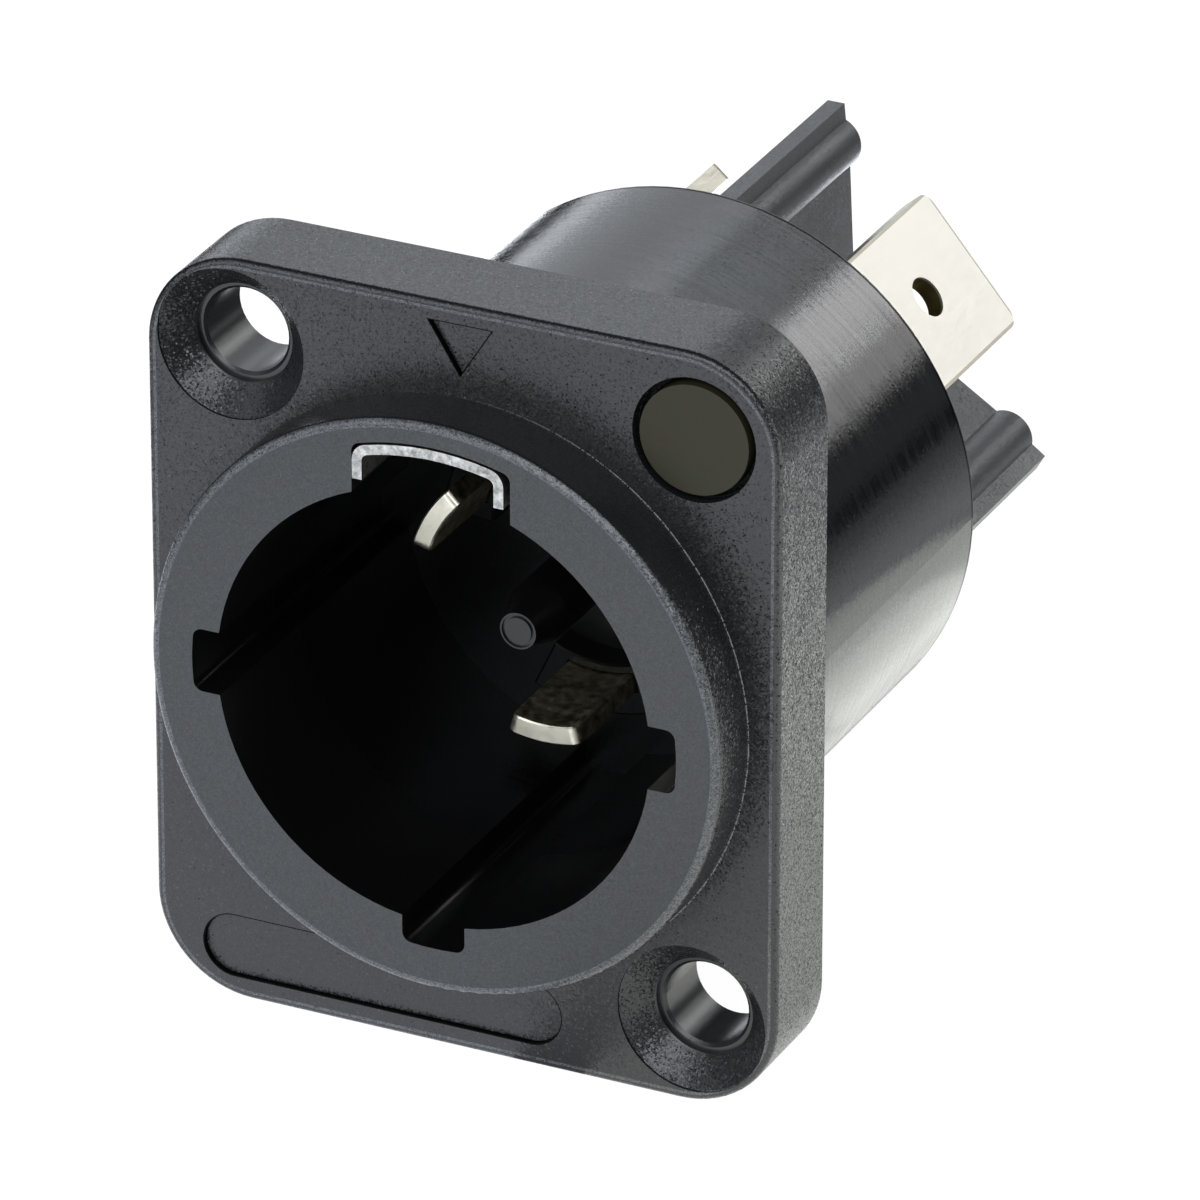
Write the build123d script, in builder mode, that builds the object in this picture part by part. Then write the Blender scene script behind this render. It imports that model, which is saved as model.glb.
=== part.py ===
from build123d import *
import os
from math import asin, degrees, cos, sin, radians

# Chassis power inlet for a panel cut-out of 24 mm.
# X runs to the right as seen from the front, Z runs up, and the socket opens towards -Y.
# The origin is the middle of the flange's rear face, which is the face that sits on the panel.
# All lengths are in millimetres.

# Flange
flange_width = 26.0
flange_height = 31.0
flange_thickness = 4.1
flange_corner = 4.0
flange_edge_round = 0.24
screw_edge_distance = 3.5
screw_hole_radius = 1.7
screw_step_radius = 2.0
screw_step_depth = 1.35
countersink_radius = 3.05
countersink_angle = 90.0
countersink_rim_depth = 0.12

# Sunk fields in the flange's face: an arrow over the latch keyway and a plain label field below
field_depth = 0.2
arrow_width = 2.6
arrow_height = 2.05
arrow_edge_distance = 0.8
label_width = 15.1
label_height = 2.6
label_side_distance = 2.0
label_edge_distance = 0.9

# Collar in front of the flange and barrel behind it
collar_radius = 11.75
collar_height = 2.5
collar_edge_round = 0.3
barrel_radius = 11.46
barrel_length = 17.3
barrel_edge_chamfer = 0.25

# Socket bore, its three narrow keyways and the wide keyway for the latch
socket_radius = 8.95
socket_depth = 15.9
keyway_width = 2.6
keyway_radius = 10.0
keyway_corner = 0.4
latch_keyway_width = 6.5
latch_keyway_radius = 10.8
latch_keyway_depth = 10.0

# Steel strip that the plug's latch hooks behind
keeper_thickness = 0.4
keeper_width = 6.2
keeper_length = 6.0
keeper_leg_height = 1.8
keeper_bend_radius = 0.7
keeper_gap = 0.1
keeper_side_shift = 0.13

# Contact carrier pressed into the barrel from behind
carrier_radius = 10.4
carrier_clearance = 0.05
pedestal_inner_radius = 4.6
pedestal_outer_radius = 6.7
pedestal_height = 1.4
pedestal_half_angle = 25.0
pedestal_chamfer = 0.08
post_radius = 1.25
post_tip_radius = 0.75
post_groove_inner_radius = 0.55
post_groove_outer_radius = 0.68
post_groove_depth = 0.1
post_taper_length = 1.8
post_recess = 7.3

# Insulating fins that part the three tabs
fin_junction_height = 1.7
fin_length = 12.0
upright_fin_reach = 8.6
side_fin_reach = 10.4
fin_tip_thickness = 0.72
fin_knee_thickness = 1.28
fin_root_thickness = 1.64
fin_knee_inset = 2.7
fin_root_inset = 6.6
bead_radius = 1.1
bead_inset = 1.7

# Contacts: curved blades in front, flat tabs behind
blade_circle_radius = 5.35
blade_width = 2.9
blade_thickness = 0.75
blade_recess = 9.5
blade_corner = 0.35
blade_tip_chamfer = 0.06
contact_clearance = 0.05
seat_cover = 2.7
seat_thickness = 0.8
tab_circle_radius = 7.8
tab_width = 6.3
tab_thickness = 0.8
tab_corner = 0.6
tab_hole_radius = 0.85
tab_hole_inset = 4.2
tab_end_setback = 0.9
line_tab_setback = 1.7

# Round inlay in the flange
badge_radius = 2.2
badge_thickness = 1.2
badge_clearance = 0.05
badge_groove_width = 0.3
badge_groove_depth = 0.6

# Places that follow from the sizes above
flange_front = -flange_thickness
ring_face = flange_front - collar_height
socket_floor = ring_face + socket_depth
pedestal_top = socket_floor - pedestal_height
blade_tip = ring_face + blade_recess
post_tip = ring_face + post_recess
seat_front = socket_floor + seat_cover
carrier_rear = barrel_length
fin_end = carrier_rear + fin_length
screw_x = flange_width / 2 - screw_edge_distance
screw_z = flange_height / 2 - screw_edge_distance
screw_points = [(-screw_x, screw_z), (screw_x, -screw_z)]
badge_point = (screw_x, screw_z)
arrow_top = flange_height / 2 - arrow_edge_distance
label_point = (
    -flange_width / 2 + label_side_distance + label_width / 2,
    -flange_height / 2 + label_edge_distance + label_height / 2,
)
contact_places = {
    "contact_line": {"blade": 150.0, "tab": 140.0, "setback": line_tab_setback},
    "contact_neutral": {"blade": 30.0, "tab": 40.0, "setback": tab_end_setback},
    "contact_earth": {"blade": 270.0, "tab": 270.0, "setback": tab_end_setback},
}

os.makedirs("parts", exist_ok=True)


def cross_section(y):
    """Plane across the plug axis at y; it faces the front, so a negative extrusion runs rearwards."""
    return Plane.XZ.offset(-y)


def arched_outline(width, radius, base, corner, shift=0.0):
    """Upright strip of the given width under an arc about the axis, with its two top corners rounded."""
    with BuildSketch() as outline:
        with Locations((shift, base)):
            Rectangle(width, radius, align=(Align.CENTER, Align.MIN))
        Circle(radius, mode=Mode.INTERSECT)
        fillet(outline.vertices().sort_by(Axis.Y)[-2:], corner)
    return outline.sketch


def blade_outline(angle, grow=0.0):
    """Section of a contact blade, curved about the axis."""
    half_angle = degrees(asin((blade_width / 2 + grow) / blade_circle_radius))
    with BuildSketch() as outline:
        with BuildLine():
            CenterArc((0, 0), blade_circle_radius, angle - half_angle, 2 * half_angle)
        trace(line_width=blade_thickness + 2 * grow)
    return outline.sketch


def tab_outline(angle, grow=0.0):
    """Section of a flat tab that faces away from the axis."""
    with BuildSketch() as outline:
        with PolarLocations(tab_circle_radius, 1, start_angle=angle):
            Rectangle(tab_thickness + 2 * grow, tab_width + 2 * grow)
    return outline.sketch


def seat_outline(place, grow=0.0):
    """Smallest convex outline round a blade's section and its tab's section."""
    with BuildSketch() as outline:
        add(blade_outline(place["blade"], grow))
        add(tab_outline(place["tab"], grow))
        make_hull()
    return outline.sketch


def fin_outline(reach):
    """Section of one fin along X from the junction: thin at its tip, thicker inwards, with a round bead."""
    knee = reach - fin_knee_inset
    root = reach - fin_root_inset
    with BuildSketch() as outline:
        with BuildLine():
            upper = Polyline(
                (0, fin_root_thickness / 2),
                (root, fin_root_thickness / 2),
                (knee, fin_knee_thickness / 2),
                (reach, fin_tip_thickness / 2),
                (reach, 0),
            )
            mirror(upper, about=Plane.XZ)
            Line((0, fin_root_thickness / 2), (0, -fin_root_thickness / 2))
        make_face()
        with Locations((reach - bead_inset, 0)):
            Circle(bead_radius)
    return outline.sketch


def contact_piece(name, place):
    """Stamped contact: curved blade in front, a flat seat across it, and a flat tab behind."""
    blade = blade_outline(place["blade"])
    tab = tab_outline(place["tab"])
    seat = seat_outline(place)
    outwards = Vector(cos(radians(place["tab"])), 0, sin(radians(place["tab"])))
    tab_end = fin_end - place["setback"]
    hole_centre = outwards * tab_circle_radius + Vector(0, tab_end - tab_hole_inset, 0)
    with BuildPart() as contact:
        with BuildSketch(cross_section(blade_tip)):
            add(blade)
        extrude(amount=-(seat_front - blade_tip))
        tip_corners = contact.edges().group_by(Axis.Y)[0].filter_by(GeomType.LINE)
        fillet(tip_corners, blade_corner)
        chamfer(contact.faces().sort_by(Axis.Y)[0].edges(), blade_tip_chamfer)
        with BuildSketch(cross_section(seat_front)):
            add(seat)
        extrude(amount=-seat_thickness)
        with BuildSketch(cross_section(seat_front)):
            add(tab)
        extrude(amount=-(tab_end - seat_front))
        end_edges = contact.edges().group_by(Axis.Y)[-1]
        fillet(end_edges.filter_by(Axis((0, 0, 0), tuple(outwards))), tab_corner)
        with BuildSketch(Plane(origin=hole_centre, x_dir=(0, 1, 0), z_dir=outwards)):
            Circle(tab_hole_radius)
        extrude(amount=tab_thickness, both=True, mode=Mode.SUBTRACT)
    contact.part.label = name
    return contact.part


# Outlines shared by the pieces that meet
latch_keyway_outline = arched_outline(latch_keyway_width, latch_keyway_radius, 0, keyway_corner)
keeper_outer_radius = latch_keyway_radius - keeper_gap
keeper_inner_radius = keeper_outer_radius - keeper_thickness
keeper_base = keeper_outer_radius - keeper_leg_height
keeper_outline = arched_outline(
    keeper_width,
    keeper_outer_radius,
    keeper_base,
    keeper_bend_radius,
    -keeper_side_shift,
)
keeper_opening = arched_outline(
    keeper_width - 2 * keeper_thickness,
    keeper_inner_radius,
    keeper_base,
    keeper_bend_radius - keeper_thickness,
    -keeper_side_shift,
)
upright_fin = fin_outline(upright_fin_reach)
side_fin = fin_outline(side_fin_reach)

# Housing: flange, collar and barrel moulded as one piece
with BuildPart() as housing:
    with BuildSketch(cross_section(flange_front)):
        RectangleRounded(flange_width, flange_height, flange_corner)
    extrude(amount=-flange_thickness)
    fillet(housing.faces().sort_by(Axis.Y)[0].edges(), flange_edge_round)

    # Sunk arrow and sunk label field; the collar stands over the field's middle
    with BuildSketch(cross_section(flange_front)):
        with BuildLine():
            Polyline(
                (-arrow_width / 2, arrow_top),
                (arrow_width / 2, arrow_top),
                (0, arrow_top - arrow_height),
                close=True,
            )
        make_face()
        with Locations(label_point):
            SlotOverall(label_width, label_height)
    extrude(amount=-field_depth, mode=Mode.SUBTRACT)

    # Collar in front and barrel behind
    with BuildSketch(cross_section(ring_face)):
        Circle(collar_radius)
    extrude(amount=-(collar_height + field_depth))
    fillet(housing.faces().sort_by(Axis.Y)[0].edges(), collar_edge_round)
    with BuildSketch(cross_section(0)):
        Circle(barrel_radius)
    extrude(amount=-barrel_length)
    chamfer(housing.faces().sort_by(Axis.Y)[-1].edges(), barrel_edge_chamfer)

    # Socket with narrow keyways at the left, the bottom and the right
    with BuildSketch(cross_section(ring_face)) as socket_shape:
        with PolarLocations(0, 3, start_angle=180, angular_range=180, endpoint=True):
            Rectangle(keyway_radius, keyway_width, align=(Align.MIN, Align.CENTER))
        Circle(keyway_radius, mode=Mode.INTERSECT)
        fillet(socket_shape.vertices().sort_by_distance((0, 0))[-6:], keyway_corner)
        Circle(socket_radius)
    extrude(amount=-socket_depth, mode=Mode.SUBTRACT)

    # Wide keyway at the top
    with BuildSketch(cross_section(ring_face)):
        add(latch_keyway_outline)
    extrude(amount=-latch_keyway_depth, mode=Mode.SUBTRACT)

    # Seat for the contact carrier, open to the rear
    with BuildSketch(cross_section(socket_floor)):
        Circle(carrier_radius + carrier_clearance)
    extrude(amount=-(barrel_length - socket_floor), mode=Mode.SUBTRACT)

    # Two stepped and countersunk screw holes on one diagonal, each under a shallow rim
    with BuildSketch(cross_section(flange_front)):
        with Locations(*screw_points):
            Circle(countersink_radius)
    extrude(amount=-countersink_rim_depth, mode=Mode.SUBTRACT)
    with Locations(cross_section(flange_front + countersink_rim_depth)):
        with Locations(*screw_points):
            CounterSinkHole(
                screw_step_radius,
                countersink_radius,
                screw_step_depth - countersink_rim_depth,
                countersink_angle,
            )
            Hole(screw_hole_radius, flange_thickness)

    # Recess for the round inlay, with a groove round its rim
    with BuildSketch(cross_section(flange_front)):
        with Locations(badge_point):
            Circle(badge_radius + badge_clearance)
    extrude(amount=-badge_thickness, mode=Mode.SUBTRACT)
    with BuildSketch(cross_section(flange_front)):
        with Locations(badge_point):
            Circle(badge_radius + badge_groove_width)
    extrude(amount=-badge_groove_depth, mode=Mode.SUBTRACT)
housing.part.label = "housing"

# Contact carrier: floor of the socket with post and pedestals, and the fins behind
with BuildPart() as contact_carrier:
    with BuildSketch(cross_section(socket_floor)):
        Circle(carrier_radius)
    extrude(amount=-(carrier_rear - socket_floor))

    # Pedestals round the foot of each blade
    with BuildSketch(cross_section(pedestal_top)):
        for place in contact_places.values():
            with BuildLine():
                start = place["blade"] - pedestal_half_angle
                inner = CenterArc((0, 0), pedestal_inner_radius, start, 2 * pedestal_half_angle)
                outer = CenterArc((0, 0), pedestal_outer_radius, start, 2 * pedestal_half_angle)
                Line(inner @ 0, outer @ 0)
                Line(inner @ 1, outer @ 1)
            make_face()
    extrude(amount=-pedestal_height)
    chamfer(contact_carrier.edges().group_by(Axis.Y)[0], pedestal_chamfer)

    # Post on the axis, tapered to its tip, with a ring groove in its end
    with BuildSketch(Plane.XY):
        with BuildLine():
            Polyline(
                (0, post_tip),
                (post_groove_inner_radius, post_tip),
                (post_groove_inner_radius, post_tip + post_groove_depth),
                (post_groove_outer_radius, post_tip + post_groove_depth),
                (post_groove_outer_radius, post_tip),
                (post_tip_radius, post_tip),
                (post_radius, post_tip + post_taper_length),
                (post_radius, socket_floor),
                (0, socket_floor),
                close=True,
            )
        make_face()
    revolve(axis=Axis.Y)

    # Fins of the rear barrier
    with BuildSketch(cross_section(carrier_rear)):
        with Locations(Location((0, fin_junction_height), 90)):
            add(upright_fin)
        with Locations(
            Location((0, fin_junction_height), -30),
            Location((0, fin_junction_height), 210),
        ):
            add(side_fin)
    extrude(amount=-fin_length)

    # Slot for each blade and a pocket, open to the rear, for its seat and tab
    for place in contact_places.values():
        with BuildSketch(cross_section(pedestal_top)):
            add(blade_outline(place["blade"], contact_clearance))
        extrude(amount=-(seat_front - pedestal_top), mode=Mode.SUBTRACT)
        with BuildSketch(cross_section(seat_front)):
            add(seat_outline(place, contact_clearance))
        extrude(amount=-(carrier_rear - seat_front), mode=Mode.SUBTRACT)
contact_carrier.part.label = "contact_carrier"

# Latch keeper: bent steel strip that lines the wide keyway
with BuildPart() as latch_keeper:
    with BuildSketch(cross_section(ring_face)):
        add(keeper_outline)
        add(keeper_opening, mode=Mode.SUBTRACT)
    extrude(amount=-keeper_length)
latch_keeper.part.label = "latch_keeper"

# Round inlay in the flange's upper right corner
with BuildPart() as badge:
    with BuildSketch(cross_section(flange_front)):
        with Locations(badge_point):
            Circle(badge_radius)
    extrude(amount=-badge_thickness)
badge.part.label = "badge"

pieces = [housing.part, contact_carrier.part, latch_keeper.part, badge.part]
for contact_name, contact_place in contact_places.items():
    pieces.append(contact_piece(contact_name, contact_place))

for piece in pieces:
    export_step(piece, f"parts/{piece.label}.step")
    print(piece.label, round(piece.volume, 1), "mm3")
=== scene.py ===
# %% [markdown]
# # Dressing a chassis power inlet
# The object is a small panel inlet: a flange with a raised collar, a keyed socket with blades inside, a
# barrel that goes through the panel, and push-on tabs between insulating fins. Its solids come from a
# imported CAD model, already at real size. This lesson gives them their surfaces, sets up a small studio
# and places the camera.

import math

import bpy
from mathutils import Matrix, Vector


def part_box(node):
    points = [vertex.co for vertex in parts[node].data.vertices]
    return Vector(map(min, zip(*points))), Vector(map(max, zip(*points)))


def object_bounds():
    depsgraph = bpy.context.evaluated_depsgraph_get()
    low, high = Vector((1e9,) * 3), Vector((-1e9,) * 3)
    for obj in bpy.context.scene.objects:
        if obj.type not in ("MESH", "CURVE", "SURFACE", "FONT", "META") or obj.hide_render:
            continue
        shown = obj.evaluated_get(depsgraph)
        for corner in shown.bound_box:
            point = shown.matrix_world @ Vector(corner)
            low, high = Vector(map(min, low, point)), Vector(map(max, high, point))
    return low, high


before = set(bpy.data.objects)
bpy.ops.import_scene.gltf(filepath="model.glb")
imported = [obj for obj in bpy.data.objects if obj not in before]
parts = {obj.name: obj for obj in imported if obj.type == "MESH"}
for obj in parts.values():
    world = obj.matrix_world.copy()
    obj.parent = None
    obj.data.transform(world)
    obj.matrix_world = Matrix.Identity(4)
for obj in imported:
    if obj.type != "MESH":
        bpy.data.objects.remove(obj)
cad_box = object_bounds()
print("CAD pieces:", ", ".join(sorted(parts)))

# %% [markdown]
# Lengths in the file are in metres, but the object is a few centimetres long, so sizes are written in
# millimetres and multiplied by `MM`. Colours are written as sRGB hex values, as one reads them off a
# screen, and Blender shades in linear light, so one function converts them.

# %% Units and colour
MM = 0.001


def srgb(hex_colour):
    """Linear RGBA from an sRGB hex value such as 3A3B3D."""
    channels = [int(hex_colour[i:i + 2], 16) / 255 for i in (0, 2, 4)]
    linear = [c / 12.92 if c <= 0.04045 else ((c + 0.055) / 1.055) ** 2.4 for c in channels]
    return (*linear, 1.0)


print("mid grey in linear light:", round(srgb("808080")[0], 3))

# %% [markdown]
# A material here is a small graph of nodes, and one helper adds any node to it. The node's settings are
# keyword arguments. Its inputs are given in order, or by number or name in a dictionary. An input is a
# value to set, another node's output to link, or a whole node, which then gives its first output. That
# way a step of arithmetic can be written inside the next one.

# %% Adding a node
def add_node(tree, kind, inputs=(), **settings):
    """Adds one shader node to a tree, applies its settings, and sets or links its inputs."""
    new = tree.nodes.new("ShaderNode" + kind)
    for key, value in settings.items():
        setattr(new, key, value)
    pairs = inputs.items() if isinstance(inputs, dict) else enumerate(inputs)
    for socket, value in pairs:
        if isinstance(value, bpy.types.Node):
            value = value.outputs[0]
        if isinstance(value, bpy.types.NodeSocket):
            tree.links.new(value, new.inputs[socket])
        else:
            new.inputs[socket].default_value = value
    return new


def new_material(name):
    """A material whose node tree is empty."""
    material = bpy.data.materials.new(name)
    material.use_nodes = True
    material.node_tree.nodes.clear()
    return material


def dress(names, material):
    """Puts one material on the named CAD pieces."""
    for name in names:
        parts[name].data.materials.clear()
        parts[name].data.materials.append(material)
    print(material.name, "on", ", ".join(names), "with", len(material.node_tree.nodes), "nodes")


print("materials before dressing:", len(bpy.data.materials))

# %% [markdown]
# Several finishes meet on one moulded piece. A mask says where each of them lies: it is 1 there and 0
# elsewhere. Masks combine like statements, with all and any. And a finish is laid over the one below it
# like a coat of paint through a stencil, for numbers such as roughness as well as for colours.

# %% Masks and layers
def all_of(tree, mask, *others):
    """1 where every mask is 1."""
    for other in others:
        mask = add_node(tree, "Math", (mask, other), operation="MULTIPLY")
    return mask


def any_of(tree, mask, *others):
    """1 where at least one mask is 1."""
    for other in others:
        mask = add_node(tree, "Math", (mask, other), operation="MAXIMUM")
    return mask


def layered(tree, value, *layers):
    """A number with others laid over it, each where its mask is 1."""
    for mask, over in layers:
        value = add_node(tree, "MapRange", (mask, 0.0, 1.0, value, over))
    return value


def painted(tree, colour, *layers):
    """A colour with others laid over it, each where its mask is 1."""
    for mask, over in layers:
        colour = add_node(tree, "Mix", {0: mask, 6: colour, 7: over}, data_type="RGBA").outputs[2]
    return colour


print("most triangles on one piece:", max(len(piece.data.polygons) for piece in parts.values()))

# %% [markdown]
# The CAD pieces arrive as fine triangle meshes. Smooth shading with a sharp-edge angle gives round walls
# a continuous highlight and keeps the crisp corners of a moulding, without moving a single vertex.

# %% Smooth shading on the CAD pieces
SHARP_ANGLE = math.radians(24)

for piece in parts.values():
    piece.data.shade_smooth()
    piece.data.set_sharp_from_angle(angle=SHARP_ANGLE)
print("smooth shaded:", len(parts))

# %% [markdown]
# ## Surface patterns
# A mask starts from where a point lies on the part. Object coordinates give that in the part's own
# frame. The part is mostly round about its y axis, so the point is also looked at along that axis, and
# its distance from the axis is measured.

# %% Place on the part
def place_on_part(tree):
    """The shaded point, its coordinates, the point seen along the y axis, and its distance from it."""
    point = add_node(tree, "TexCoord").outputs["Object"]
    x, y, z = add_node(tree, "SeparateXYZ", (point,)).outputs
    across = add_node(tree, "VectorMath", (point, (1.0, 0.0, 1.0)), operation="MULTIPLY").outputs[0]
    radius = add_node(tree, "VectorMath", (across,), operation="LENGTH").outputs[1]
    return {"point": point, "x": x, "y": y, "z": z, "across": across, "radius": radius}


print("part from y", round(cad_box[0][1] / MM, 2), "to", round(cad_box[1][1] / MM, 2), "mm")

# %% [markdown]
# Three patterns serve all the plastics. The first is soft noise. Its values bunch round a half, so they
# are stretched wherever the full range is wanted. The second is the grain that spark erosion leaves in a
# mould: a field of tiny craters, each with its own tilt. A cell pattern with one random vector per cell
# tips the surface's normal a little, and each cell then mirrors the studio in a slightly different
# direction. That gives the sandy sparkle of moulded grain. Bumped noise would look like leather instead.

# %% Noise and grain
NOISE_RANGE = (0.3, 0.7)
LEAST_TIP = 0.4
EXTRA_TIP = 2.6


def soft_noise(tree, point, size, detail=2.0):
    """Noise whose lumps are about the given size."""
    inputs = {"Vector": point, "Scale": 1 / (2 * size), "Detail": detail, "Roughness": 0.6}
    return add_node(tree, "TexNoise", inputs).outputs["Fac"]


def grain_cells(tree, point, size):
    """Random vector for every cell of the given size, from -0.5 to 0.5."""
    cells = add_node(tree, "TexVoronoi", {"Vector": point, "Scale": 1 / size}).outputs["Color"]
    return add_node(tree, "VectorMath", (cells, (0.5, 0.5, 0.5)), operation="SUBTRACT").outputs[0]


def tilted_normal(tree, normal, cells, tilt):
    """The normal, tipped by each cell's vector: most cells a little, a few of them a lot."""
    square = add_node(tree, "VectorMath", (cells, cells), operation="DOT_PRODUCT").outputs[1]
    reach = add_node(tree, "Math", (square, EXTRA_TIP, LEAST_TIP), operation="MULTIPLY_ADD")
    weight = add_node(tree, "Math", (tilt, reach), operation="MULTIPLY")
    tips = add_node(tree, "VectorMath", {0: cells, "Scale": weight}, operation="SCALE")
    tipped = add_node(tree, "VectorMath", (normal, tips), operation="ADD")
    return add_node(tree, "VectorMath", (tipped,), operation="NORMALIZE").outputs[0]


print("a cell's tip is weighted from", LEAST_TIP, "to", LEAST_TIP + 0.75 * EXTRA_TIP)

# %% [markdown]
# The third is a set of turning streaks. It is noise drawn out along the circumference: its first
# coordinate is the angle about the axis, which changes slowly, and its second is the place along the
# barrel, which changes fast. Real turning lines lie a few hundredths of a millimetre apart and would not
# show, so these are drawn coarser.

# %% Turning streaks
STREAK_SPACING = 0.12 * MM
STREAKS_PER_TURN = 13.0


def turning_streaks(tree, at):
    """Noise drawn out round the part's long axis, the y axis."""
    angle = add_node(tree, "Math", (at["z"], at["x"]), operation="ARCTAN2")
    turns = add_node(tree, "Math", (angle, STREAKS_PER_TURN / math.tau), operation="MULTIPLY")
    along = add_node(tree, "Math", (at["y"], 1 / STREAK_SPACING), operation="MULTIPLY")
    wrapped = add_node(tree, "CombineXYZ", (turns, along))
    inputs = {"Vector": wrapped, "Scale": 0.5, "Detail": 5.0, "Roughness": 0.75}
    return add_node(tree, "TexNoise", inputs).outputs["Fac"]


print("streaks", round(STREAK_SPACING / MM, 2), "mm apart,", round(360 / STREAKS_PER_TURN), "degrees long")

# %% [markdown]
# ## The housing's plastic
# The housing is glass-filled polyamide, injection moulded and dyed black. Where the mould makes the
# flange it was spark eroded. The collar's face is finer. The barrel's half of the mould was turned and
# polished, so the skin there is glossy, with faint streaks that run round it. The pins that form the
# screw holes and the socket are smooth too. It is one piece, so it gets one material, and masks made from
# the position on the part choose between these finishes. An image texture could do that as well, but it
# would need unwrapping and has one fixed resolution.

# %% Where each finish of the housing lies
BARREL_START_Y = 0.05 * MM
COLLAR_FACE_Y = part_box("housing")[0].y
COLLAR_FACE_DEPTH = 0.02 * MM
COLLAR_RADIUS = 11.75 * MM
COLLAR_EDGE_WIDTH = 0.33 * MM
SOCKET_START_DEPTH = 0.03 * MM
SOCKET_REACH = 10.9 * MM
SCREW_AXES = ((-9.5 * MM, 0.0, 12.0 * MM), (9.5 * MM, 0.0, -12.0 * MM))
SCREW_STEP_RADIUS = 2.05 * MM
INLAY_AXIS = (9.5 * MM, 0.0, 12.0 * MM)
INLAY_GROOVE_RADIUS = 2.49 * MM
INLAY_FLOOR_Y = -2.8 * MM


def housing_masks(tree, at):
    """Masks that are 1 on the barrel, the collar's face, the socket, the screw holes and the groove."""
    at_face = add_node(tree, "Math", (at["y"], COLLAR_FACE_Y + COLLAR_FACE_DEPTH), operation="LESS_THAN")
    inner = add_node(tree, "Math", (at["radius"], COLLAR_RADIUS - COLLAR_EDGE_WIDTH), operation="LESS_THAN")
    behind = add_node(tree, "Math", (at["y"], COLLAR_FACE_Y + SOCKET_START_DEPTH), operation="GREATER_THAN")
    in_bore = add_node(tree, "Math", (at["radius"], SOCKET_REACH), operation="LESS_THAN")
    to_screws = [
        add_node(tree, "VectorMath", (at["across"], axis), operation="DISTANCE").outputs[1]
        for axis in SCREW_AXES]
    nearest = add_node(tree, "Math", to_screws, operation="MINIMUM")
    to_inlay = add_node(tree, "VectorMath", (at["across"], INLAY_AXIS), operation="DISTANCE").outputs[1]
    in_pocket = add_node(tree, "Math", (to_inlay, INLAY_GROOVE_RADIUS), operation="LESS_THAN")
    before_floor = add_node(tree, "Math", (at["y"], INLAY_FLOOR_Y), operation="LESS_THAN")
    return {
        "barrel": add_node(tree, "Math", (at["y"], BARREL_START_Y), operation="GREATER_THAN"),
        "face": all_of(tree, at_face, inner),
        "socket": all_of(tree, in_bore, behind),
        "hole": add_node(tree, "Math", (nearest, SCREW_STEP_RADIUS), operation="LESS_THAN"),
        "groove": all_of(tree, in_pocket, before_floor),
    }


print("collar's face at y", round(COLLAR_FACE_Y / MM, 2), "mm")

# %% [markdown]
# The sunk arrow and the sunk label field have a thin dark crease all round: painted shade where their walls
# meet the flange. A crease is a distance to a simple shape, compared with a width. The arrow is three half
# planes, folded in two at the middle. The field is a slot: every point at one radius from a straight line.

# %% Painted shade in the creases round the sunk marks
CREASE_HALF_WIDTH = 0.04 * MM
ARROW_TOP_Z = 14.7 * MM
ARROW_SIDE = (0.8445, 0.0, 0.0)
ARROW_DROP = -0.5355
ARROW_APEX_OFFSET = 6.774 * MM
SLOT_CENTRE = (-3.45 * MM, 0.0, -13.3 * MM)
SLOT_STRAIGHT = (6.25 * MM, 0.0, 0.0)
SLOT_RADIUS = 1.3 * MM


def distance_beyond(tree, place, core):
    """Distance from a box round the origin that is given by its half sizes."""
    folded = add_node(tree, "VectorMath", (place,), operation="ABSOLUTE")
    over = add_node(tree, "VectorMath", (folded, core), operation="SUBTRACT")
    outside = add_node(tree, "VectorMath", (over, (0.0, 0.0, 0.0)), operation="MAXIMUM")
    return add_node(tree, "VectorMath", (outside,), operation="LENGTH").outputs[1]


def crease_shade_mask(tree, at):
    """1 along the outlines of the sunk arrow and the sunk label field, where shade is painted."""
    folded = add_node(tree, "VectorMath", (at["across"],), operation="ABSOLUTE")
    slope = add_node(tree, "VectorMath", (folded, ARROW_SIDE), operation="DOT_PRODUCT").outputs[1]
    shifted = add_node(tree, "Math", (slope, ARROW_APEX_OFFSET), operation="ADD")
    sides = add_node(tree, "Math", (at["z"], ARROW_DROP, shifted), operation="MULTIPLY_ADD")
    top = add_node(tree, "Math", (at["z"], ARROW_TOP_Z), operation="SUBTRACT")
    arrow = add_node(tree, "Math", (sides, top), operation="MAXIMUM")
    from_slot = add_node(tree, "VectorMath", (at["across"], SLOT_CENTRE), operation="SUBTRACT")
    slot = distance_beyond(tree, from_slot, SLOT_STRAIGHT)
    on_arrow = add_node(tree, "Math", (arrow, 0.0, CREASE_HALF_WIDTH), operation="COMPARE")
    on_slot = add_node(tree, "Math", (slot, SLOT_RADIUS, CREASE_HALF_WIDTH), operation="COMPARE")
    return any_of(tree, on_arrow, on_slot)


print("label field:", round(2 * (SLOT_STRAIGHT[0] + SLOT_RADIUS) / MM, 1), "mm long")

# %% [markdown]
# The flange's rim and the collar's outer edge are painted paler, in specks: a painted highlight where these
# edges catch the light. The rim is a band at a set distance inside a rounded rectangle, and that rectangle
# is again a box and a radius.

# %% Painted highlight on the rims
FLANGE_CORE = (9.0 * MM, 0.0, 11.5 * MM)
FLANGE_CORNER = 4.0 * MM
FLANGE_RIM = (-0.31 * MM, 0.06 * MM)
COLLAR_RIM = (COLLAR_RADIUS - 0.19 * MM, 0.17 * MM)
COLLAR_RIM_DEPTH = 0.15 * MM
RIM_END_Y = -3.95 * MM


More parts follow.
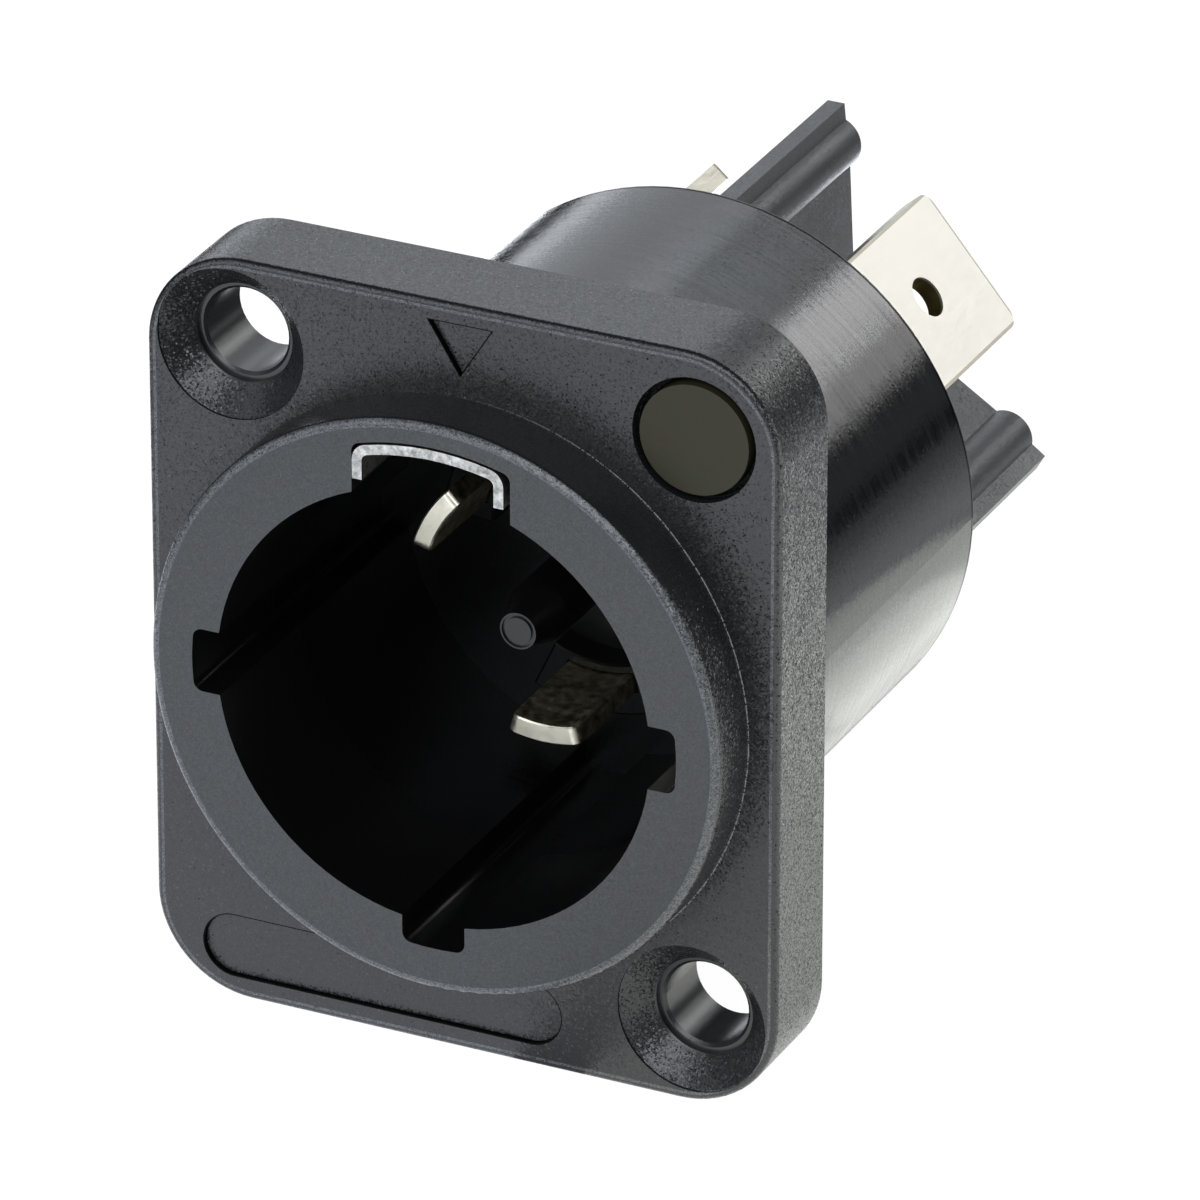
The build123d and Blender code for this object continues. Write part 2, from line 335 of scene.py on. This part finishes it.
def rim_highlight_mask(tree, at):
    """1 on the rims that get a painted highlight: just inside the flange's outline, and on the collar's
    outer edge.
    """
    beyond = distance_beyond(tree, at["across"], FLANGE_CORE)
    outline = add_node(tree, "Math", (beyond, FLANGE_CORNER), operation="SUBTRACT")
    flange_rim = add_node(tree, "Math", (outline, *FLANGE_RIM), operation="COMPARE")
    collar_rim = add_node(tree, "Math", (at["radius"], *COLLAR_RIM), operation="COMPARE")
    near_face = add_node(tree, "Math", (at["y"], COLLAR_FACE_Y + COLLAR_RIM_DEPTH), operation="LESS_THAN")
    in_front = add_node(tree, "Math", (at["y"], RIM_END_Y), operation="LESS_THAN")
    return all_of(tree, any_of(tree, flange_rim, all_of(tree, collar_rim, near_face)), in_front)


print("flange rim:", round(2 * FLANGE_RIM[1] / MM, 2), "mm wide")

# %% [markdown]
# Three more lines are painted on the housing. A hair-fine pale line, a painted highlight, runs round the
# collar's foot, where the collar meets the flange, and it fades in towards the right. The groove round the
# inlay is too narrow to catch light, so it gets painted shade, and so does a thin line just before the
# barrel's rear edge.

# %% Lines on the housing
FLANGE_FACE_Y = -4.1 * MM
FLANGE_FACE_REACH = 0.24 * MM
FOOT_LINE_WIDTH = 0.05 * MM
FOOT_LINE_FULL_X = 8 * MM
REAR_EDGE_Y = 17.07 * MM
REAR_LINE = (REAR_EDGE_Y - 0.12 * MM, 0.05 * MM)


def housing_lines(tree, at, on):
    """Masks of the collar's foot highlight, of the creases' painted shade and of the rims' painted
    highlight.
    """
    on_flange = add_node(tree, "Math", (at["y"], FLANGE_FACE_Y, FLANGE_FACE_REACH), operation="COMPARE")
    foot_circle = (at["radius"], COLLAR_RADIUS + FOOT_LINE_WIDTH / 2, FOOT_LINE_WIDTH / 2)
    foot = add_node(tree, "Math", foot_circle, operation="COMPARE")
    to_right = add_node(tree, "MapRange", (at["x"], 0.0, FOOT_LINE_FULL_X, 0.0, 1.0))
    past_collar = add_node(tree, "Math", (at["radius"], COLLAR_RADIUS), operation="GREATER_THAN")
    sunk = all_of(tree, crease_shade_mask(tree, at), on_flange, past_collar)
    rear_line = add_node(tree, "Math", (at["y"], *REAR_LINE), operation="COMPARE")
    return {
        "foot": all_of(tree, foot, on_flange, to_right),
        "crease": any_of(tree, sunk, on["groove"], rear_line),
        "rim": rim_highlight_mask(tree, at),
    }


print("foot line:", round(FOOT_LINE_WIDTH / MM, 2), "mm wide")

# %% [markdown]
# Spark erosion leaves craters of a few hundredths of a millimetre, and the cells are about that size. The
# grain shows most on the flange's side, so that gets the strongest tilt, and its top, which mirrors one
# even softbox, a weak one. On the barrel the streaks are a bump a few thousandths of a millimetre high.

# %% Housing relief
GRAIN_SIZE = 0.065 * MM
FRONT_TILT = 0.23
SIDE_TILT = 0.42
FINE_TILT = 0.13
POLISHED_TILT = 0.03
STREAK_STRENGTH = 0.1
STREAK_HEIGHT = 0.045 * MM


def housing_normal(tree, on, cells, streaks):
    """Streaks on the barrel and grain everywhere else."""
    strength = add_node(tree, "Math", (on["barrel"], STREAK_STRENGTH), operation="MULTIPLY")
    streaked = add_node(tree, "Bump", {"Height": streaks, "Strength": strength, "Distance": STREAK_HEIGHT})
    flat = add_node(tree, "NewGeometry").outputs["Normal"]
    sideways, _, upwards = add_node(tree, "SeparateXYZ", (flat,)).outputs
    tilt = add_node(tree, "MapRange", (sideways, 0.1, 0.9, FRONT_TILT, SIDE_TILT))
    on_top = add_node(tree, "MapRange", (upwards, 0.3, 0.9, 0.0, 1.0))
    polished = any_of(tree, on["hole"], on["socket"], on["barrel"])
    tilt = layered(tree, tilt, (on_top, FINE_TILT), (on["face"], FINE_TILT), (polished, POLISHED_TILT))
    return tilted_normal(tree, streaked, cells, tilt)


print("grain:", round(1 * MM / GRAIN_SIZE), "cells to a millimetre")

# %% [markdown]
# How rough a zone is decides how much its reflection blurs. The grain blurs it to a soft sheen, the
# socket and the holes a little less, and the polished barrel shows the softboxes as bands with frayed
# edges, because its roughness follows the streaks.

# %% Housing roughness
GRAIN_ROUGHNESS = 0.31
GRAIN_ROUGHNESS_CHANGE = 0.12
FACE_ROUGHNESS = 0.37
HOLE_ROUGHNESS = 0.28
BARREL_ROUGHNESS = (0.07, 0.25)


def housing_roughness(tree, on, cells, streaks):
    """Roughness of each zone of the housing."""
    chance = add_node(tree, "SeparateXYZ", (cells,)).outputs[0]
    change = (chance, GRAIN_ROUGHNESS_CHANGE, GRAIN_ROUGHNESS)
    grain = add_node(tree, "Math", change, operation="MULTIPLY_ADD")
    barrel = add_node(tree, "MapRange", (streaks, *NOISE_RANGE, *BARREL_ROUGHNESS))
    pins = any_of(tree, on["hole"], on["socket"])
    zones = (on["face"], FACE_ROUGHNESS), (pins, HOLE_ROUGHNESS), (on["barrel"], barrel)
    return layered(tree, grain, *zones)


print("barrel roughness: from", BARREL_ROUGHNESS[0], "to", BARREL_ROUGHNESS[1])

# %% [markdown]
# Black plastic scatters almost no light, so its base colour is close to black, and nearly all the grey
# one sees is the studio's reflection. What scattering there is differs by zone: glass fibres near the
# skin give the collar's face pale specks. The rims, the foot line and the barrel's rear edge are painted
# paler as painted highlights, and the creases and the socket are painted near black as painted shade.

# %% Housing colour
RIM_GRAIN_SIZE = 0.045 * MM
CLOUD_SIZE = 3 * MM
FOOT_LINE_GAPS = -0.25
POLYAMIDE_BLACK = srgb("151618")
POLYAMIDE_CLOUD = srgb("191A1C")
FIBRE_GREY = srgb("2A2C2E")
BARREL_BLACK = srgb("0E0E0F")
# Painted highlight on the rims, in pale specks.
RIM_HIGHLIGHT_GREY = srgb("56585A")
# Painted highlight on the collar's foot line.
FOOT_HIGHLIGHT_GREY = srgb("808284")
# Painted highlight on the barrel's rear edge.
REAR_HIGHLIGHT_GREY = srgb("4C4E50")
# Painted shade in the creases.
CREASE_SHADE_BLACK = srgb("050505")
# Painted shade in the socket.
SOCKET_SHADE_BLACK = srgb("080809")


def housing_colour(tree, at, on, lines, cells):
    """Base colour, from the plain plastic up to the painted highlights and painted shade that lie over
    everything.
    """
    chance = add_node(tree, "SeparateXYZ", (cells,)).outputs[1]
    fibres = add_node(tree, "Math", (chance, 0.5), operation="ADD")
    rim_cells = grain_cells(tree, at["point"], RIM_GRAIN_SIZE)
    rim_chance = add_node(tree, "SeparateXYZ", (rim_cells,)).outputs[0]
    highlight_specks = add_node(tree, "Math", (rim_chance, 0.5), operation="ADD")
    unbroken = add_node(tree, "Math", (chance, FOOT_LINE_GAPS), operation="GREATER_THAN")
    # The barrel's rear edge is painted paler: a painted highlight along its chamfer.
    rear_highlight = add_node(tree, "Math", (at["y"], REAR_EDGE_Y), operation="GREATER_THAN")
    return painted(
        tree, POLYAMIDE_BLACK,
        (soft_noise(tree, at["point"], CLOUD_SIZE), POLYAMIDE_CLOUD),
        (on["face"], painted(tree, POLYAMIDE_BLACK, (fibres, FIBRE_GREY))),
        (on["barrel"], BARREL_BLACK),
        (all_of(tree, lines["rim"], highlight_specks), RIM_HIGHLIGHT_GREY),
        (all_of(tree, lines["foot"], unbroken), FOOT_HIGHLIGHT_GREY),
        (rear_highlight, REAR_HIGHLIGHT_GREY),
        (lines["crease"], CREASE_SHADE_BLACK),
        (on["socket"], SOCKET_SHADE_BLACK))


print("plain plastic scatters", round(100 * POLYAMIDE_BLACK[1], 1), "% of the light")

# %% [markdown]
# The material puts it together. Polyamide's index of refraction is 1.53, so it mirrors about 4 % of the
# light head on and far more at a grazing angle. That is what makes the black part look grey. The creases
# alone mirror almost nothing: painted shade, as if light that enters them stays in.

# %% Housing material
POLYAMIDE_IOR = 1.53
CREASE_SHADE_SPECULAR = 0.05


def polyamide_housing():
    material = new_material("polyamide_black_spark_eroded")
    tree = material.node_tree
    at = place_on_part(tree)
    on = housing_masks(tree, at)
    lines = housing_lines(tree, at, on)
    cells = grain_cells(tree, at["point"], GRAIN_SIZE)
    streaks = turning_streaks(tree, at)
    shader = add_node(tree, "BsdfPrincipled", {
        "Base Color": housing_colour(tree, at, on, lines, cells),
        "Roughness": housing_roughness(tree, on, cells, streaks),
        "Normal": housing_normal(tree, on, cells, streaks),
        "IOR": POLYAMIDE_IOR,
        "Specular IOR Level": layered(tree, 0.5, (lines["crease"], CREASE_SHADE_SPECULAR))})
    add_node(tree, "OutputMaterial", {"Surface": shader})
    return material


dress(["housing"], polyamide_housing())

# %% [markdown]
# ## The contact carrier
# The insert is moulded in the same polyamide from a smoother mould. Its fins have a satin face with
# hardly any grain, and look a shade paler than the housing. Its front, deep in the socket, gets painted
# shade: it is painted as black as the socket's walls and mirrors less, and only the post on the axis
# mirrors as much as plain polyamide does.

# %% Carrier material
FIN_START_Y = 17.2 * MM
POST_RADIUS = 1.3 * MM
CARRIER_TILT = 0.05
FIN_TILT = 0.12
SATIN_ROUGHNESS = (0.33, 0.41)
SATIN_CLOUD_SIZE = 2 * MM
SHADED_SPECULAR = 0.22
# Painted shade on the carrier's front, deep in the socket.
CARRIER_SHADE_BLACK = srgb("070708")
FIN_GREY = srgb("3B3C3E")


def polyamide_carrier():
    material = new_material("polyamide_black_satin")
    tree = material.node_tree
    at = place_on_part(tree)
    fins = add_node(tree, "Math", (at["y"], FIN_START_Y), operation="GREATER_THAN")
    post = add_node(tree, "Math", (at["radius"], POST_RADIUS), operation="LESS_THAN")
    cloud = soft_noise(tree, at["point"], SATIN_CLOUD_SIZE)
    flat = add_node(tree, "NewGeometry").outputs["Normal"]
    cells = grain_cells(tree, at["point"], GRAIN_SIZE)
    shader = add_node(tree, "BsdfPrincipled", {
        "Base Color": painted(tree, CARRIER_SHADE_BLACK, (fins, FIN_GREY)),
        "Roughness": add_node(tree, "MapRange", (cloud, *NOISE_RANGE, *SATIN_ROUGHNESS)),
        "Normal": tilted_normal(tree, flat, cells, layered(tree, CARRIER_TILT, (fins, FIN_TILT))),
        "IOR": POLYAMIDE_IOR,
        "Specular IOR Level": layered(tree, SHADED_SPECULAR, (any_of(tree, fins, post), 0.5))})
    add_node(tree, "OutputMaterial", {"Surface": shader})
    return material


dress(["contact_carrier"], polyamide_carrier())

# %% [markdown]
# ## Contacts
# The contacts are stamped from brass strip and plated with tin. The plating is a soft, matt, warm white.
# Each zone is found by its place and by the way it faces. On the blades a plug slides along the flat
# faces, so a face that looks across the axis is rubbed, and an end, which looks along it, is not. Those
# flanks, deep in the socket, are also painted dark as painted shade. A tab's plated faces look to or from
# the axis. The sheared sides do not, and neither does the wall of the punched hole, which is bare brass.
# A tab's sides and its border are a shade greyer than its face.

# %% Where each finish of a contact lies
BLADE_REAR_Y = 12.0 * MM
END_FACING = 0.6
SHEARED_FACING = 0.6
TAB_INNER_RADIUS = 8.1 * MM
TAB_BORDER_RADIUS = 8.735 * MM
TAB_BORDER_Y = 28.3 * MM
TAB_HOLE = (23.8 * MM, 1.4 * MM)


def contact_masks(tree, at, flat):
    """Masks that are 1 on the blades, on their rubbed faces that get painted shade, in a tab's hole and on
    its border.
    """
    facing = add_node(tree, "SeparateXYZ", (flat,)).outputs[1]
    along = add_node(tree, "Math", (facing,), operation="ABSOLUTE")
    flank = add_node(tree, "Math", (along, END_FACING), operation="LESS_THAN")
    blade = add_node(tree, "Math", (at["y"], BLADE_REAR_Y), operation="LESS_THAN")
    outwards = add_node(tree, "VectorMath", (at["across"],), operation="NORMALIZE")
    plated = add_node(tree, "VectorMath", (flat, outwards), operation="DOT_PRODUCT").outputs[1]
    sheared = add_node(tree, "Math", (plated, 0.0, SHEARED_FACING), operation="COMPARE")
    inside = add_node(tree, "Math", (at["radius"], TAB_INNER_RADIUS), operation="LESS_THAN")
    by_hole = add_node(tree, "Math", (at["y"], *TAB_HOLE), operation="COMPARE")
    edge = add_node(tree, "Math", (at["radius"], TAB_BORDER_RADIUS), operation="GREATER_THAN")
    end = add_node(tree, "Math", (at["y"], TAB_BORDER_Y), operation="GREATER_THAN")
    return {
        "blade": blade,
        "rubbed_and_shaded": all_of(tree, flank, blade),
        "hole": all_of(tree, inside, sheared, by_hole),
        "border": any_of(tree, edge, sheared, end),
    }


# %% [markdown]
# Tin is a metal, so its colour is its reflection's tint. Rolling left lines along the strip that are too
# fine to show, so they are drawn 0.06 mm wide, and only in the roughness. On the rubbed faces the colour
# is painted shade: a dark olive brass with paler tin in patches.

# %% Tin-plated brass
ROLLING_GRAIN = (0.06 * MM, 0.9 * MM, 0.06 * MM)
ROLLED_ROUGHNESS = (0.4, 0.5)
WORN_ROUGHNESS = (0.28, 0.5)
PATCH_SIZE = 0.22 * MM
TIN_GRAIN_SIZE = 0.09 * MM
TIN_TILT = 0.02
RUBBED_TILT = 0.2
TIN = srgb("F5F2E9")
TIN_BORDER = srgb("C2BFB2")
TIN_BLADE_END = srgb("FBF5E2")
BRASS_IN_HOLE = srgb("7E7248")
# Painted shade on the blades' flanks: dark olive brass with paler tin patches.
FLANK_SHADE_BRASS = srgb("857E56")
FLANK_SHADE_TIN = srgb("DDD7BC")


def tinned_brass():
    material = new_material("tin_plated_brass")
    tree = material.node_tree
    at = place_on_part(tree)
    flat = add_node(tree, "NewGeometry").outputs["Normal"]
    on = contact_masks(tree, at, flat)
    stretch = {"Vector": at["point"], "Scale": tuple(1 / size for size in ROLLING_GRAIN)}
    rolled = add_node(tree, "Mapping", stretch)
    lines = add_node(tree, "TexNoise", {"Vector": rolled, "Scale": 1.0, "Detail": 3.0})
    noise = soft_noise(tree, at["point"], PATCH_SIZE, 6.0)
    patches = add_node(tree, "MapRange", (noise, *NOISE_RANGE, 0.0, 1.0))
    flank_shade = painted(tree, FLANK_SHADE_BRASS, (patches, FLANK_SHADE_TIN))
    colour = painted(
        tree, TIN,
        (on["border"], TIN_BORDER), (on["blade"], TIN_BLADE_END), (on["hole"], BRASS_IN_HOLE),
        (on["rubbed_and_shaded"], flank_shade))
    rolled_rough = add_node(tree, "MapRange", (lines, *NOISE_RANGE, *ROLLED_ROUGHNESS))
    worn_rough = add_node(tree, "MapRange", (patches, 0.0, 1.0, *WORN_ROUGHNESS))
    tilt = layered(tree, TIN_TILT, (on["rubbed_and_shaded"], RUBBED_TILT))
    shader = add_node(tree, "BsdfPrincipled", {
        "Base Color": colour,
        "Metallic": 1.0,
        "Roughness": layered(tree, rolled_rough, (on["blade"], worn_rough)),
        "Normal": tilted_normal(tree, flat, grain_cells(tree, at["point"], TIN_GRAIN_SIZE), tilt)})
    add_node(tree, "OutputMaterial", {"Surface": shader})
    return material


dress(["contact_line", "contact_neutral", "contact_earth"], tinned_brass())

# %% [markdown]
# ## Latch keeper
# The strip that the plug's latch hooks behind is stainless spring steel, sheared from sheet and bent.
# Shearing burnishes the edge next to each face and tears the middle, so the edge that faces the front is
# bright with a mottled grey core.

# %% Spring steel
MOTTLE_SIZE = 0.12 * MM
STEEL_GRAIN_SIZE = 0.08 * MM
STEEL_TILT = 0.2
STEEL_ROUGHNESS = (0.42, 0.3)
STEEL_TORN = srgb("787876")
STEEL_BURNISHED = srgb("C4C3C0")


def spring_steel():
    material = new_material("stainless_spring_steel")
    tree = material.node_tree
    point = add_node(tree, "TexCoord").outputs["Object"]
    noise = soft_noise(tree, point, MOTTLE_SIZE, 4.0)
    mottle = add_node(tree, "MapRange", (noise, *NOISE_RANGE, 0.0, 1.0))
    flat = add_node(tree, "NewGeometry").outputs["Normal"]
    shader = add_node(tree, "BsdfPrincipled", {
        "Base Color": painted(tree, STEEL_TORN, (mottle, STEEL_BURNISHED)),
        "Metallic": 1.0,
        "Roughness": add_node(tree, "MapRange", (mottle, 0.0, 1.0, *STEEL_ROUGHNESS)),
        "Normal": tilted_normal(tree, flat, grain_cells(tree, point, STEEL_GRAIN_SIZE), STEEL_TILT)})
    add_node(tree, "OutputMaterial", {"Surface": shader})
    return material


dress(["latch_keeper"], spring_steel())

# %% [markdown]
# ## Inlay
# The round inlay is a lacquered disc. Its lacquer is thin and dark, with a trace of brown that drifts to
# green, and it mirrors less than bare plastic does. It is left plain.

# %% Lacquered inlay
DRIFT_SIZE = 0.7 * MM
LACQUER_ROUGHNESS = 0.3
LACQUER_IOR = 1.5
LACQUER_SPECULAR = 0.16
LACQUER_BROWN = srgb("2D271D")
LACQUER_GREEN = srgb("292B1E")


def lacquered_inlay():
    material = new_material("lacquered_inlay")
    tree = material.node_tree
    noise = soft_noise(tree, add_node(tree, "TexCoord").outputs["Object"], DRIFT_SIZE)
    drift = add_node(tree, "MapRange", (noise, *NOISE_RANGE, 0.0, 1.0))
    shader = add_node(tree, "BsdfPrincipled", {
        "Base Color": painted(tree, LACQUER_BROWN, (drift, LACQUER_GREEN)),
        "Roughness": LACQUER_ROUGHNESS,
        "IOR": LACQUER_IOR,
        "Specular IOR Level": LACQUER_SPECULAR})
    add_node(tree, "OutputMaterial", {"Surface": shader})
    return material


dress(["badge"], lacquered_inlay())

# %% [markdown]
# ## Camera
# The camera looks from the right and above with a long lens. Its angles and distance were found by
# fitting the known flange size and hole spacing to the picture.

# %% Camera
AZIMUTH = math.radians(25.511)
ELEVATION = math.radians(26.407)
ROLL = math.radians(0.054)
DISTANCE = 431.665 * MM
TARGET = Vector((3.751, 0.0, 2.428)) * MM
SENSOR = 36.0
FOCAL_PIXELS = 11572.04
FRAME_PIXELS = 1200.0

back = Vector((
    math.sin(AZIMUTH) * math.cos(ELEVATION),
    -math.cos(AZIMUTH) * math.cos(ELEVATION),
    math.sin(ELEVATION),
))
right = Vector((math.cos(AZIMUTH), math.sin(AZIMUTH), 0.0))
up = back.cross(right)
camera_data = bpy.data.cameras.new("camera")
camera_data.sensor_width = SENSOR
camera_data.lens = SENSOR * FOCAL_PIXELS / FRAME_PIXELS
camera = bpy.data.objects.new("camera", camera_data)
bpy.context.scene.collection.objects.link(camera)
turn = Matrix((right, up, back)).transposed().to_4x4() @ Matrix.Rotation(ROLL, 4, "Z")
camera.matrix_world = Matrix.Translation(TARGET + back * DISTANCE) @ turn
bpy.context.scene.camera = camera
print("camera at", [round(c / MM) for c in camera.location], "mm, lens", round(camera_data.lens), "mm")

# %% [markdown]
# ## Studio
# The picture is a catalogue shot: the object stands on a white table that is lit from below, in a ring of
# softboxes, and the background burns out to white. The floor takes that white from a camera-ray switch,
# so no lamp has to be turned up for it. Most of what the camera sees of it is that even white, and the
# rest is an ordinary matt white, so the object keeps a soft shadow. The two add up to a plain white.
# All other rays see only a matt table. It is white near the object and ends in the dark, because glossy
# black plastic would mirror a white floor right up to the horizon.

# %% Floor
FLOOR_GAP = 0.05 * MM
FLOOR_SIZE = 3.0
TABLE_REACH = (45 * MM, 120 * MM)
EVEN_WHITE_SHARE = 0.85
EVEN_WHITE = 1.14
TABLE_WHITE = (0.8, 0.8, 0.8, 1.0)
TABLE_END = (0.02, 0.02, 0.02, 1.0)


def studio_floor():
    material = new_material("studio_floor_white")
    tree = material.node_tree
    camera_ray = add_node(tree, "LightPath").outputs["Is Camera Ray"]
    point = add_node(tree, "TexCoord").outputs["Object"]
    far = add_node(tree, "VectorMath", (point,), operation="LENGTH").outputs[1]
    past_table = add_node(tree, "MapRange", (far, *TABLE_REACH, 0.0, 1.0))
    table = add_node(tree, "BsdfDiffuse", {"Color": painted(tree, TABLE_WHITE, (past_table, TABLE_END))})
    matt = add_node(tree, "BsdfDiffuse", {"Color": TABLE_WHITE})
    even = add_node(tree, "Emission", {"Color": (1.0, 1.0, 1.0, 1.0), "Strength": EVEN_WHITE})
    seen = add_node(tree, "MixShader", (EVEN_WHITE_SHARE, matt, even))
    floor_shader = add_node(tree, "MixShader", (camera_ray, table, seen))
    add_node(tree, "OutputMaterial", {"Surface": floor_shader})
    return material


half = FLOOR_SIZE / 2
floor_mesh = bpy.data.meshes.new("studio_floor")
floor_mesh.from_pydata(
    [(-half, -half, 0.0), (half, -half, 0.0), (half, half, 0.0), (-half, half, 0.0)], [], [(0, 1, 2, 3)])
floor_mesh.materials.append(studio_floor())
floor = bpy.data.objects.new("studio_floor", floor_mesh)
floor.location.z = cad_box[0][2] - FLOOR_GAP
bpy.context.scene.collection.objects.link(floor)
print("floor at z", round(floor.location.z / MM, 2), "mm")

# %% [markdown]
# The world is white to the camera, and otherwise a faint grey that fills the shadows. Reflections get a
# darker one, because a glossy black part shows whatever stands round it, and a dark room between the
# softboxes is what gives the barrel its dark band.

# %% World
ROOM_LEVELS = {"ambient": 0.03, "mirrored": 0.012, "backdrop": 1.0}

world = bpy.data.worlds.new("studio_world")
bpy.context.scene.world = world
world.use_nodes = True
world.node_tree.nodes.clear()
room = {
    name: add_node(world.node_tree, "Background", {"Color": (level, level, level, 1.0)})
    for name, level in ROOM_LEVELS.items()}
path = add_node(world.node_tree, "LightPath")
unseen = (path.outputs["Is Glossy Ray"], room["ambient"], room["mirrored"])
unseen_room = add_node(world.node_tree, "MixShader", unseen)
whole_room = (path.outputs["Is Camera Ray"], unseen_room, room["backdrop"])
add_node(world.node_tree, "OutputWorld", {"Surface": add_node(world.node_tree, "MixShader", whole_room)})
print("room levels:", ROOM_LEVELS)

# %% [markdown]
# Each softbox is an area lamp that faces the object square on. It is described by what it looks like from
# the object: where it stands, how wide and high it appears, and how bright its face is. Brightness times
# area times pi is its power. A narrow strip behind and to the right draws the bright line on the barrel,
# and the large box low at the front left gives the flange its even grey. Most lamps are a touch cool.
# The boxes at the right are neutral, and the table there is a touch warm.

# %% Softboxes
LAMP_DISTANCE = 0.6
COOL = (0.955, 1.0, 1.06)
NEUTRAL = (1.0, 1.0, 1.0)
WARM = (0.985, 1.0, 0.93)
NEUTRAL_LAMPS = {"strip_back_right", "strip_edge", "box_right", "box_right_low"}
WARM_LAMPS = {"table_side", "table_belly", "table_side_front", "table_right"}
SOFTBOXES = {
    # name: azimuth, elevation, width and height in degrees, brightness
    "strip_back_right": (66, 27.5, 16, 12, 5.1),
    "strip_edge": (58, 17.5, 14, 11, 2.4),
    "box_back": (94, 40, 44, 16, 1.8),
    "box_back_left": (122, 20, 36, 30, 1.1),
    "box_back_low": (128, 1, 44, 10, 1.6),
    "box_back_right_low": (60, 4, 36, 9, 0.15),
    "box_front_left": (232, 6, 50, 32, 2.65),
    "box_front_left_up": (225, 38, 50, 30, 1.05),
    "box_front_up": (282, 38, 56, 34, 4.4),
    "box_right_low": (15, 4, 40, 14, 4.6),
    "box_right": (28, 22, 30, 22, 0.35),
}


def area_lamp(name, width, height, brightness):
    """A rectangular lamp whose face has the stated brightness."""
    data = bpy.data.lights.new(name, "AREA")
    data.color = WARM if name in WARM_LAMPS else NEUTRAL if name in NEUTRAL_LAMPS else COOL
    data.shape = "RECTANGLE"
    data.size = width
    data.size_y = height
    data.energy = brightness * math.pi * width * height
    lamp = bpy.data.objects.new(name, data)
    bpy.context.scene.collection.objects.link(lamp)
    return lamp


def softbox(name, azimuth, elevation, width, height, brightness):
    """An area lamp that faces the object and fills the stated angles as seen from it."""
    spans = [2 * LAMP_DISTANCE * math.tan(math.radians(angle) / 2) for angle in (width, height)]
    lamp = area_lamp(name, *spans, brightness)
    a, e = math.radians(azimuth), math.radians(elevation)
    direction = Vector((math.cos(e) * math.cos(a), math.cos(e) * math.sin(a), math.sin(e)))
    lamp.location = direction * LAMP_DISTANCE
    lamp.rotation_euler = direction.to_track_quat("Z", "Y").to_euler()
    return lamp


lamps = {name: softbox(name, *values) for name, values in SOFTBOXES.items()}
print("softboxes:", len(lamps))

# %% [markdown]
# The table glows from below. Its light is a few flat lamps that lie on the floor and face up. The camera
# does not see them, but the glossy plastic does: the flange's face, its right side and the barrel's belly
# all mirror the table. Behind and to the right the table ends, and that too keeps the barrel's band dark.
# Lamps in one plane hide each other where they overlap, so each lies a hair above the last.

# %% Lit table
TABLE_LAMPS = {
    # name: from x, to x, from y, to y in millimetres, brightness
    "table_front": (-60, 40, -200, -40, 1.3),
    "table_centre": (-60, 2, -40, 50, 0.95),
    "table_side": (5, 38, 12, 47, 0.97),
    "table_belly": (9, 21, 22, 37, 0.7),
    "table_side_front": (5, 60, -40, 12, 1.0),
    "table_right": (60, 200, -60, 40, 2.7),
    "table_back_right": (14, 120, 50, 160, 0.3),
    "table_back": (-60, 5, 50, 130, 3.3),
}
LAYER_STEP = FLOOR_GAP / 10


def table_lamp(name, layer, x0, x1, y0, y1, brightness):
    """A flat lamp that lies on the floor and faces up."""
    lamp = area_lamp(name, (x1 - x0) * MM, (y1 - y0) * MM, brightness)
    height = floor.location.z + LAYER_STEP * (layer + 1)
    lamp.location = ((x0 + x1) / 2 * MM, (y0 + y1) / 2 * MM, height)
    lamp.rotation_euler.x = math.pi
    lamp.visible_camera = False
    return lamp


for layer, (name, values) in enumerate(TABLE_LAMPS.items()):
    lamps[name] = table_lamp(name, layer, *values)
print("lamps in all:", len(lamps))

# %% [markdown]
# ## Close
# The Standard view shows colours as they are.

# %% View
bpy.context.scene.view_settings.view_transform = "Standard"
